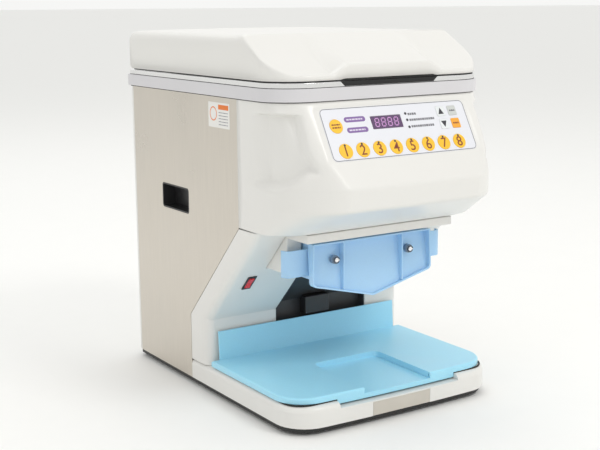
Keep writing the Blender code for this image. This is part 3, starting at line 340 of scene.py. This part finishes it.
def softly(table, at, reach):
    """The same table with its corners rounded over a reach."""
    steps = (-1.0, -0.6, -0.2, 0.2, 0.6, 1.0)
    return sum(along(table, at + reach * s) for s in steps) / len(steps)


# ---- head cover --------------------------------------------------------------------
HEAD_LEVELS = [
    (HEAD_BOTTOM, FRONT + 80, HALF - 67, SEAM - 60, 2.0),
    (HEAD_BOTTOM + 40, FRONT + 4, HALF - 75, SEAM - 86, 1.7),
    (COLUMN_TOP - NOSE_DROP, FRONT, HALF - 75, SEAM - 88, 1.6),
    (COLUMN_TOP - 80, FRONT + (NOSE_DROP - 80) * LEAN, HALF - 55, SEAM - 78, 1.6),
    (COLUMN_TOP - 51, FRONT + (NOSE_DROP - 51) * LEAN, HALF - 53, SEAM - 72, 1.7),
    (COLUMN_TOP, FRONT + NOSE_DROP * LEAN, HALF - 59, SEAM - 60, 2.0),
]


def head_line(z, corner_steps, side_steps=6, flat_steps=26, inset=0.0, reach=2.5):
    """One level of the head cover, from the left seam round to the right seam."""
    reach = min(reach, z - HEAD_BOTTOM, COLUMN_TOP - z)
    front, flat, start, power = [
        softly([(level[0], level[k]) for level in HEAD_LEVELS], z, reach) for k in (1, 2, 3, 4)]
    front += inset * 1.15
    half = HALF - inset
    side = start + inset - SEAM
    left = [(-half, SEAM - 0.3 + side * i / side_steps) for i in range(side_steps)]
    for i in range(corner_steps + 1):
        a = pi / 2 * i / corner_steps
        left.append((-(flat + (half - flat) * cos(a) ** (2 / power)),
                     start + inset + (front - start - inset) * sin(a) ** (2 / power)))
    for i in range(1, flat_steps):
        left.append((-flat * (1 - i / flat_steps), front))
    return left + [(0.0, front)] + [(-x, y) for x, y in left[::-1]]


def scoop(x, y, z):
    """How far the hand scoops at the front corners sink into the head cover."""
    edge = along([(345, 134), (372, 149), (404, 158), (452, 156)], z)
    across = ease(edge - 5, edge + 9, abs(x)) * (1 - ease(SEAM - 72, SEAM - 48, y))
    ledge = 346 + 24 * (1 - ease(158, 187, abs(x)))
    return 12.0 * across * ease(ledge, ledge + 14, z) * (1 - ease(449.5, 454, z))


def brow(x, z):
    """The head stands a little proud above and beside the keypad."""
    top = 463.5 - 3 * (abs(x) / 140) ** 3
    over = ease(top - 2.5, top + 0.5, z) * (1 - ease(465.5, 468.5, z))
    beside = ease(132, 137, abs(x)) * (1 - ease(146, 166, abs(x))) * ease(372, 396, z)
    return 1.5 * max(over * (1 - ease(150, 168, abs(x))), beside * (1 - ease(462, 468, z)))


def make_head(paints):
    heights = [HEAD_BOTTOM, HEAD_BOTTOM + 1.2, HEAD_BOTTOM + 3] + list(np.arange(286, 467, 2.5))
    heights += [448, 450, 451, 452, 453, 454, 467, 468.4, COLUMN_TOP]
    heights = sorted(set(float(z) for z in heights))
    bm = bmesh.new()
    rows = []
    for z in heights:
        rim = min(z - HEAD_BOTTOM, COLUMN_TOP - z)
        inset = 1.6 - sqrt(max(0.0, 1.6 ** 2 - (1.6 - min(rim, 1.6)) ** 2))
        line = head_line(z, 30, inset=inset * 0.9)
        row = []
        for k, (x, y) in enumerate(line):
            before, after = line[max(0, k - 1)], line[min(len(line) - 1, k + 1)]
            tangent = Vector((after[0] - before[0], after[1] - before[1], 0)).normalized()
            normal = Vector((tangent.y, -tangent.x, 0))
            if normal.dot(Vector((x, y - SEAM, 0))) < 0:
                normal.negate()
            move = brow(x, z) - scoop(x, y, z)
            row.append(bm.verts.new(Vector((x, y, z)) + normal * move))
        rows.append(row)
    for low, high in zip(rows, rows[1:]):
        for i in range(len(low) - 1):
            bm.faces.new((low[i], low[i + 1], high[i + 1], high[i]))
    head = piece("head_skin", bm, paints['gloss_white'], "machine", 60,
                 ("head_cover",))
    wall = head.modifiers.new("wall", 'SOLIDIFY')
    wall.thickness = 2.6 * MM
    wall.offset = -1.0
    under = bmesh.new()
    outline = head_line(HEAD_BOTTOM + 2.0, 22, inset=2.9)
    floor_z = HEAD_BOTTOM + 2.2
    near = [under.verts.new((x, y, floor_z)) for x, y in outline]
    strip = [under.verts.new((max(-OUTLET_WAY, min(OUTLET_WAY, x)),
                              max(OUTLET_WAY_FRONT, min(OUTLET_WAY_REAR, y + 30)), floor_z))
             for x, y in outline]
    for i in range(len(near) - 1):
        under.faces.new((near[i], near[i + 1], strip[i + 1], strip[i]))
    bmesh.ops.remove_doubles(under, verts=under.verts, dist=1e-4)
    bmesh.ops.dissolve_degenerate(under, dist=1e-5, edges=under.edges)
    sole = piece("head_sole", under, paints['gloss_white'], "machine")
    sheet = sole.modifiers.new("wall", 'SOLIDIFY')
    sheet.thickness = 1.6 * MM
    return head


# ---- lid ---------------------------------------------------------------------------
CHEEK_RISE = [(-50, 10), (76, 10), (120, 35), (165, 64), (900, 64)]
NOSE_RISE = [(-50, 24), (70, 24), (165, 64), (900, 64)]


def lid_height(x, y):
    """Top of the lid above its lower edge, with soft creases."""
    back = y - FRONT
    cheek = softly(CHEEK_RISE, back, 1.6)
    nose = softly(NOSE_RISE, back, 1.6)
    share = 1 - softly([(0, 0), (73, 0), (96, 1), (300, 1)], abs(x), 1.2)
    crown = 1.2 * (1 - (x / HALF) ** 2) * ease(150, 230, back)
    return cheek + (nose - cheek) * share - 1.2 * ease(150, 230, back) + crown


def resampled(line, step):
    """Closed outline with points about a step apart."""
    made = []
    for (x0, y0), (x1, y1) in zip(line, line[1:] + line[:1]):
        count = max(1, int(sqrt((x1 - x0) ** 2 + (y1 - y0) ** 2) / step))
        made += [(x0 + (x1 - x0) * i / count, y0 + (y1 - y0) * i / count) for i in range(count)]
    return made


def lid_outline():
    line = head_line(COLUMN_TOP, 26, side_steps=1, flat_steps=2, reach=0.0)
    corner = 7.0
    rear = []
    for cx, start in ((HALF - corner, 0), (-HALF + corner, 90)):
        for i in range(6):
            a = radians(start + 90 * i / 5)
            rear.append((cx + corner * cos(a), LID_REAR - corner + corner * sin(a)))
    return resampled(line + rear, 3.6)


def make_lid(paints):
    outline = np.array(lid_outline())
    centre = np.array((0.0, MIDDLE_Y))
    nxt = np.roll(outline, -1, axis=0)
    edge = nxt - outline
    length = np.maximum(1e-9, (edge ** 2).sum(1))

    def inset_of(points):
        away = points[:, None, :] - outline[None]
        t = np.clip((away * edge[None]).sum(2) / length[None], 0, 1)
        gap = away - t[..., None] * edge[None]
        return np.sqrt((gap ** 2).sum(2)).min(1)

    bm = bmesh.new()
    rows = []
    low_row = []
    for x, y in outline:
        lift = 11 * max(0.0, y - PIN_Y) / (LID_REAR + 5 - PIN_Y)
        grab = 1.6 * (1 - ease(78, 86, abs(x))) * (1 - ease(-200, -190, y))
        low_row.append(bm.verts.new((x, y, LID_LOW + 1.9 + lift + grab)))
    rows.append(low_row)
    shares = [1.0, 0.9985, 0.995, 0.990, 0.984, 0.976, 0.967, 0.957, 0.946, 0.934, 0.92]
    shares += list(np.arange(0.908, 0.50, -0.012)) + list(np.arange(0.48, 0.02, -0.04))
    for share in shares:
        points = centre + (outline - centre) * share
        depth = inset_of(points)
        row = []
        for (x, y), d in zip(points, depth):
            rise = lid_height(x, y)
            radius = min(3.0 + 13.0 * ease(120, 200, y - FRONT), rise - 3)
            drop = radius - sqrt(max(0.0, radius ** 2 - max(0.0, radius - d) ** 2))
            row.append(bm.verts.new((x, y, LID_LOW + rise - drop)))
        rows.append(row)
    count = len(outline)
    for low, high in zip(rows, rows[1:]):
        for i in range(count):
            j = (i + 1) % count
            bm.faces.new((low[i], low[j], high[j], high[i]))
    bm.faces.new(rows[-1])
    lid = piece("lid_skin", bm, paints['gloss_white'], "lid", 60, ("lid",))
    wall = lid.modifiers.new("wall", 'SOLIDIFY')
    wall.thickness = LID_WALL * MM
    wall.offset = -1.0
    # painted shade: a black ring just inside the lid's lower edge for the shade inside the gap under
    # the lid
    shade_line = [(x, y) for x, y in lid_outline() if y < PIN_Y - 4]
    shade_line = sorted(shade_line, key=lambda spot: atan2(spot[0], -(spot[1] - 40)))
    outer = [(x * 0.996, 30 + (y - 30) * 0.996) for x, y in shade_line]
    inner = [(x * 0.975, 30 + (y - 30) * 0.978) for x, y in shade_line[::-1]]
    drawn("lid_gap_shade", [outer + inner], LID_LOW + 0.25, LID_LOW + 4.4, paints['rubber'], "lid")
    turn = Matrix(((0, 0, 1, 0), (1, 0, 0, 0), (0, 1, 0, 0), (0, 0, 0, 1)))
    for word, side in (("left", -1), ("right", 1)):
        span = sorted((side * 105, side * 113))
        ring_strip(disc((PIN_Y, PIN_Z), 6), disc((PIN_Y, PIN_Z), 2.8), span[0], span[1],
                   "lid_boss_" + word, paints['gloss_white'], "lid", turn)
        web = slab((PIN_Y + 4.5, LID_REAR - 2), (PIN_Z - 3, PIN_Z + 4))
        drawn("lid_web_" + word, [web], span[0], span[1], paints['gloss_white'], "lid", turn)
    return lid


def make_rim_gap_shade(paints):
    """Painted shade: black strips for the dark seam lines under the band and under the bright lip, and
    a black insert for the shade in the finger gap.
    """
    front = FRONT + NOSE_DROP * LEAN
    # painted shade: a black strip in front of the bright lip for the shade in the finger gap
    gap = [(-86, GAP_TOP), (-79, GAP_LOW), (79, GAP_LOW), (86, GAP_TOP)]
    drawn("rim_finger_gap_shade", [gap], -front + 0.3, -front + 0.95, paints['rubber'], "machine",
          FACING_FRONT)
    outline = lid_outline()
    # painted shade: black rings for the shade in the seams under the bright lip and under the band
    for name, z, grow in (("seam_lip_shade", (487.1, 488.1), 0.7), ("seam_band_shade", (468.0, 469.35), 0.25)):
        outer = [(x * (1 + grow / HALF), MIDDLE_Y + (y - MIDDLE_Y) * (1 + grow / 236))
                 for x, y in outline]
        inner = [(x * 0.985, MIDDLE_Y + (y - MIDDLE_Y) * 0.985) for x, y in outline]
        ring_strip(outer, inner, z[0], z[1], name, paints['rubber'], "machine")


# ---- keypad graphics ---------------------------------------------------------------
def keypad_spot():
    z = COLUMN_TOP - KEYPAD_DROP
    y = FRONT + (NOSE_DROP - KEYPAD_DROP) * LEAN
    return Matrix.Translation(Vector((0, y, z))) @ Matrix.Rotation(pi / 2 - KEYPAD_TILT, 4, 'X')


def digit(text, middle, size, level, material, body, name, spot):
    """A generic number, cut from the built-in typeface as a thin mesh."""
    curve = bpy.data.curves.new(name + "_curve", 'FONT')
    curve.body = text
    curve.size = size
    curve.extrude = 0.06
    curve.offset = 0.12
    curve.resolution_u = 4
    curve.align_x = 'CENTER'
    curve.align_y = 'CENTER'
    shape = bpy.data.objects.new(name + "_curve", curve)
    bpy.context.scene.collection.objects.link(shape)
    graph = bpy.context.evaluated_depsgraph_get()
    mesh = bpy.data.meshes.new_from_object(shape.evaluated_get(graph))
    bpy.data.objects.remove(shape)
    bm = bmesh.new()
    bm.from_mesh(mesh)
    bmesh.ops.remove_doubles(bm, verts=bm.verts, dist=1e-4)
    bmesh.ops.translate(bm, vec=(middle[0], middle[1], level), verts=bm.verts)
    bmesh.ops.transform(bm, matrix=spot, verts=bm.verts)
    return piece(name, bm, material, body)


def segments_of_eight(left, low, wide, tall, thick):
    """Outlines of the seven bars of one display digit."""
    right, high, middle = left + wide, low + tall, low + tall / 2
    cut = thick * 0.5

    def bar(x0, x1, y):
        return [(x0 + cut, y - cut), (x1 - cut, y - cut), (x1, y), (x1 - cut, y + cut),
                (x0 + cut, y + cut), (x0, y)]

    def post(x, y0, y1):
        return [(x - cut, y0 + cut), (x, y0), (x + cut, y0 + cut), (x + cut, y1 - cut), (x, y1),
                (x - cut, y1 - cut)]

    gap = 0.35
    bars = [bar(left + gap, right - gap, y) for y in (low, middle, high)]
    posts = [post(x, a + gap, b - gap) for x in (left, right)
             for a, b in ((low, middle), (middle, high))]
    return bars + posts


def dashes(start, stop, row, tall, pattern):
    """Short bars in place of printed words."""
    made = []
    x = start
    k = 0
    while x < stop - 1:
        wide = pattern[k % len(pattern)]
        made.append(slab((x, min(stop, x + wide)), (row - tall / 2, row + tall / 2)))
        x += wide + 0.9
        k += 1
    return made


def make_keypad(inks):
    spot = keypad_spot()
    face = 0.5
    half = (127.4, 38.9)
    ring_strip(slab((-half[0], half[0]), (-half[1], half[1]), 7.4),
               slab((-half[0] + 0.9, half[0] - 0.9), (-half[1] + 0.9, half[1] - 0.9), 6.2),
               face - INK_SINK, face + 0.10, "keypad_outline", inks['grey'], "machine", spot)
    drawn("keypad_pills", [slab((-91, -55), (17, 25), 3.9), slab((-91, -55), (1, 9), 3.9)],
          face - INK_SINK, face + 0.12, inks['purple'], "machine", spot)
    marks = dashes(-87, -60, 21, 2.2, (4.2, 3.2, 5.0)) + dashes(-87, -60, 5, 2.2, (5.0, 3.4, 4.0))
    drawn("keypad_pill_marks", marks, face + 0.08, face + 0.18, inks['pale'], "machine", spot)
    drawn("keypad_lamps", [disc((17, v), 2.1, 18) for v in (24, 14, 3)], face - INK_SINK, face + 0.14,
          inks['dark'], "machine", spot)
    words = dashes(21, 37, 22.8, 3.4, (3.0, 2.4, 3.6))
    words += dashes(21, 66, 13.6, 3.4, (3.2, 2.6, 3.8, 2.2))
    words += dashes(21, 62, 3.5, 3.4, (2.8, 3.6, 2.4))
    drawn("keypad_words", words, face - INK_SINK, face + 0.11, inks['grey'], "machine", spot)
    bars = []
    for i in range(4):
        bars += segments_of_eight(-39.5 + i * 11.2, 7.6, 6.4, 12.2, 1.5)
    slant = Matrix.Identity(4)
    slant[0][1] = 0.10
    slant[0][3] = -1.3
    drawn("display_bars", bars, 0.36, 0.46, inks['segment'], "machine", spot @ slant)
    key_face = face + 0.4
    for i in range(8):
        middle = (-3.5 * KEY_PITCH - 2.5 + i * KEY_PITCH, -25)
        body = f"key_{i + 1}"
        digit(str(i + 1), (middle[0], middle[1] - 1.2), 21.0, key_face + 0.05, inks['digit'], body,
              f"digit_{i + 1}", spot)
        dot = disc((middle[0] + 0.4, middle[1] + 8.6), 1.7, 14)
        drawn(f"key_dot_{i + 1}", [dot], key_face - INK_SINK, key_face + 0.08, inks['dark'], body, spot)
    start = (-107, 12.5)
    drawn("start_marks", dashes(start[0] - 7, start[0] + 7, start[1] + 2.2, 2.2, (3.4, 2.6, 4.0))
          + dashes(start[0] - 7, start[0] + 7, start[1] - 2.2, 2.2, (2.8, 4.2, 3.0)),
          key_face - INK_SINK, key_face + 0.08, inks['digit'], "key_start", spot)
    for body, v, turn in (("key_up", 23.5, 1), ("key_down", 3.5, -1)):
        tip = [(81.5 - 5.0, v - 4.6 * turn), (81.5 + 5.0, v - 4.6 * turn), (81.5, v + 5.4 * turn)]
        drawn(body + "_arrow", [tip], key_face - INK_SINK, key_face + 0.1, inks['dark'], body, spot)
    for body, v, ink in (("key_menu", 23.5, 'grey'), ("key_mode", 3.5, 'digit')):
        drawn(body + "_marks", dashes(103 - 5, 103 + 5, v, 2.4, (2.6, 3.4)), key_face - INK_SINK,
              key_face + 0.1, inks[ink], body, spot)


# ---- side card, screws and small detail --------------------------------------------
def side_spot(side, depth):
    """Local x runs along +Y or -Y, local y up, local z out of the steel panel."""
    turn = Matrix(((0, 0, side, 0), (side, 0, 0, 0), (0, 1, 0, 0), (0, 0, 0, 1)))
    return Matrix.Translation(Vector((side * depth, 0, 0))) @ turn


def make_side_card(inks):
    spot = side_spot(-1, HALF)
    y, z = (7.5, 70.5), (423, 460)
    drawn("side_card", [slab(y, z, 1.2)], -0.1, 0.25, inks['card'], "machine", spot)
    drawn("side_card_bar", [slab((y[0] + 30, y[1] - 3), (z[1] - 10, z[1] - 3))], 0.2, 0.32,
          inks['orange'], "machine", spot)
    lines = []
    for k in range(5):
        lines += dashes(y[0] + 31, y[1] - 5, z[1] - 14.5 - 4.4 * k, 1.2, (7, 4, 9, 5))
    drawn("side_card_lines", lines, 0.2, 0.30, inks['line'], "machine", spot)
    ring_strip(disc((y[0] + 15, z[0] + 20), 10.5), disc((y[0] + 15, z[0] + 20), 8.9), 0.2, 0.32,
               "side_card_ring", inks['orange'], "machine", spot)


def make_screws(paints, inks):
    """Pan-head screws on the rear cover."""
    heads, slots = [], []
    turn = Matrix(((-1, 0, 0, 0), (0, 0, 1, 0), (0, 1, 0, 0), (0, 0, 0, 1)))
    spot = Matrix.Translation(Vector((0, BODY_REAR, 0))) @ turn
    for x in (-172, 0, 172):
        for z in (26, 250, 455):
            if (x, z) == (0, 250):
                continue
            heads.append(disc((-x, z), 4.0, 20))
            slots.append(slab((-x - 2.6, -x + 2.6), (z - 0.5, z + 0.5)))
            slots.append(slab((-x - 0.5, -x + 0.5), (z - 2.6, z + 2.6)))
    drawn("rear_screws", heads, -0.2, 1.6, paints['shaft'], "machine", spot, soft=0.7)
    # painted shade: dark crosses on the heads for the shade in the recessed slots
    drawn("rear_screw_slot_shade", slots, 1.5, 1.66, inks['dark'], "machine", spot)


def make_knob_faces(paints, inks):
    """A dark seating ring, a bright cap and a finger bar on each of the chute's thumb screws."""
    for word in ("left", "right"):
        low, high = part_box("chute_knob_" + word)
        middle = ((low.x + high.x) / 2 / MM, (low.z + high.z) / 2 / MM)
        spot = Matrix.Translation(Vector((0, low.y / MM, 0))) @ FACING_FRONT
        body = "knob_" + word
        ring_strip(disc(middle, 5.2), disc(middle, 4.2), -0.4, 0.12, "knob_ring_" + word,
                   inks['dark'], body, spot)
        drawn("knob_cap_" + word, [disc(middle, 3.2, 20)], -0.5, 0.25, paints['trim'], body, spot,
              soft=0.2)
        bar = slab((middle[0] - 4.4, middle[0] + 4.4), (middle[1] - 0.9, middle[1] + 0.9), 0.8)
        drawn("knob_bar_" + word, [bar], -0.3, 1.2, paints['trim'], body, spot, soft=0.2)


def make_tray_gap_shade(paints):
    """Painted shade: a black ring for the shade in the gap between the tray's skirt and the base."""
    low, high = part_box("tray")
    x = (low.x / MM + 3.0, high.x / MM - 3.0)
    y = (low.y / MM + 3.0, high.y / MM - 12.0)
    outer, inner = slab(x, y, 34, 8), slab((x[0] + 2, x[1] - 2), (y[0] + 2, y[1] - 2), 32, 8)
    ring_strip(outer, inner, *TRAY_GAP_SHADE, "tray_gap", paints['rubber'], "tray")


# ---- floor, lights and camera ------------------------------------------------------
def make_stage():
    ground = paint("ground_pale", (0.94, 0.94, 0.925), 0.75, grain=30, bump=0.01, shift=0.006)
    bm = bmesh.new()
    bmesh.ops.create_grid(bm, x_segments=24, y_segments=24, size=400000)
    bmesh.ops.scale(bm, vec=(MM, MM, MM), verts=bm.verts)
    mesh = bpy.data.meshes.new("floor")
    bm.to_mesh(mesh)
    bm.free()
    floor = bpy.data.objects.new("floor", mesh)
    bpy.context.scene.collection.objects.link(floor)
    mesh.materials.append(ground)


def make_light(name, spot, aim, size, power, colour=(1, 1, 1)):
    data = bpy.data.lights.new(name, 'AREA')
    data.shape = 'RECTANGLE'
    data.size, data.size_y = size
    data.energy = power
    data.color = colour
    item = bpy.data.objects.new(name, data)
    bpy.context.scene.collection.objects.link(item)
    item.location = spot
    item.rotation_euler = (Vector(aim) - Vector(spot)).to_track_quat('-Z', 'Y').to_euler()


def make_lights():
    world = bpy.data.worlds.new("studio")
    world.use_nodes = True
    tree = world.node_tree
    sky = tree.nodes["Background"]
    sky.inputs["Color"].default_value = (1.0, 1.0, 0.985, 1.0)
    way = tree.nodes.new("ShaderNodeTexCoord")
    side = tree.nodes.new("ShaderNodeVectorMath")
    side.operation = 'DOT_PRODUCT'
    side.inputs[1].default_value = (0.85, 0.35, 0.40)
    level = tree.nodes.new("ShaderNodeMapRange")
    level.inputs["From Min"].default_value = -0.8
    level.inputs["From Max"].default_value = 0.65
    level.inputs["To Min"].default_value = 0.68
    level.inputs["To Max"].default_value = 0.93
    tree.links.new(way.outputs["Generated"], side.inputs[0])
    tree.links.new(side.outputs["Value"], level.inputs["Value"])
    tree.links.new(level.outputs["Result"], sky.inputs["Strength"])
    bpy.context.scene.world = world
    make_light("key", (1.0, -2.6, 3.0), (0.0, -0.05, 0.2), (1.0, 1.0), 30, (1.0, 0.985, 0.96))
    make_light("back", (0.4, 2.6, 3.2), (0.0, 0.4, 0.0), (2.0, 2.0), 12)
    make_light("fill", (-2.6, -0.9, 1.5), (0.0, 0.0, 0.3), (0.5, 1.6), 4, (0.97, 0.98, 1.0))
    make_light("top", (-0.3, 0.6, 3.0), (0.0, 0.0, 0.4), (1.6, 1.6), 5)


def make_camera():
    data = bpy.data.cameras.new("camera")
    data.sensor_width = 36.0
    data.lens = 69.26
    data.clip_end = 100.0
    camera = bpy.data.objects.new("camera", data)
    bpy.context.scene.collection.objects.link(camera)
    yaw, pitch, roll = radians(32.96), radians(11.005), radians(-0.474)
    forward = Vector((sin(yaw) * cos(pitch), cos(yaw) * cos(pitch), -sin(pitch)))
    right = Vector((cos(yaw), -sin(yaw), 0.0))
    up = right.cross(forward)
    across = right * cos(roll) + up * sin(roll)
    above = up * cos(roll) - right * sin(roll)
    turn = Matrix((across, above, -forward)).transposed()
    camera.matrix_world = Matrix.Translation(Vector((-1.0067, -1.5185, 0.6052))) @ turn.to_4x4()
    bpy.context.scene.camera = camera


# ---- the whole ---------------------------------------------------------------------
SOFT_EDGES = {
    'rim_band': 0.8, 'rim_trim': 0.7, 'neck_cover': 1.2, 'neck_panel': 1.0, 'base_cover': 1.6,
    'base_pan': 0.8, 'base_insert': 0.3, 'tray': 1.3, 'outlet_housing': 1.5, 'chute_box': 0.7,
    'chute_cover': 0.7, 'chute_knob_left': 0.5, 'chute_knob_right': 0.5, 'flap_left': 0.4,
    'flap_right': 0.4, 'sensor_box': 2.0, 'switch_bezel': 0.8, 'power_rocker': 0.7,
    'rear_cover': 1.6, 'side_panel_left': 0.4, 'side_panel_right': 0.4, 'grip_left': 1.2,
    'grip_right': 1.2, 'power_inlet': 0.8, 'hopper': 0.8, 'inner_frame': 0.4,
    'hinge_bracket': 0.5, 'control_overlay': 0.25, 'foot_front_left': 0.7,
    'foot_front_right': 0.7, 'foot_rear_left': 0.7, 'foot_rear_right': 0.7,
    'display_window': 0.15, 'feed_gear_front': 0.2, 'feed_gear_rear': 0.2, 'motor_pinion': 0.2,
    'agitator_shaft': 0.5, 'feed_roller_front': 0.5, 'feed_roller_rear': 0.5,
}


def main():
    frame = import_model()
    paints = make_paints()
    inks = make_inks()
    slots = {row["node"]: row["material_slot"] for row in frame["record"]["subparts"]}
    for node, item in frame["nodes"].items():
        item.data.materials.clear()
        item.data.materials.append(paints[slots[node]])
    for node, width in SOFT_EDGES.items():
        look = 'panel' if node == "neck_panel" else slots[node]
        softened(frame, node, paints[look], width)
    make_head(paints)
    make_lid(paints)
    make_rim_gap_shade(paints)
    make_keypad(inks)
    make_side_card(inks)
    make_screws(paints, inks)
    make_knob_faces(paints, inks)
    make_tray_gap_shade(paints)
    make_stage()
    make_lights()
    make_camera()
    scene = bpy.context.scene
    scene.view_settings.view_transform = 'Standard'


main()
